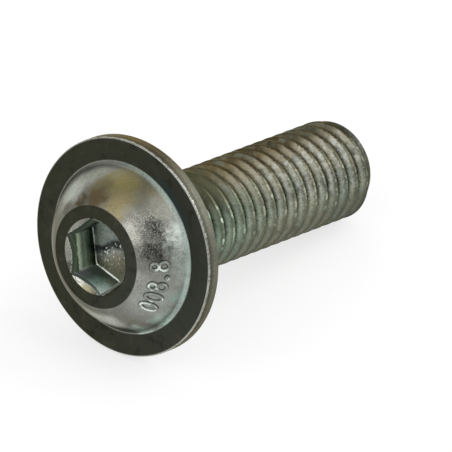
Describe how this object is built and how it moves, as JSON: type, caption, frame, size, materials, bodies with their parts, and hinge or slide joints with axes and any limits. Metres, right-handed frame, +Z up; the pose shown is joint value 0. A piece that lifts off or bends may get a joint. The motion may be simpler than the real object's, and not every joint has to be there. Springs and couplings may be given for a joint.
{
  "type": "flanged button head screw",
  "caption": "Zinc plated button head screw with a collar, a hexagon socket and a right-hand metric thread, lying on its collar's rim and its tip.",
  "frame": {"origin": "centre of the base of the resting screw's bounding box, on the ground", "axes": "+X the way the tip points, level, with the screw's own axis dipping towards the tip in the XZ plane; +Z up"},
  "size_m": [0.0302, 0.0174, 0.0173],
  "materials": {
    "zinc_steel": "zinc plated steel with a dull, stained passivation film"
  },
  "bodies": {
    "root": {"screw": "zinc_steel"}
  },
  "joints": []
}
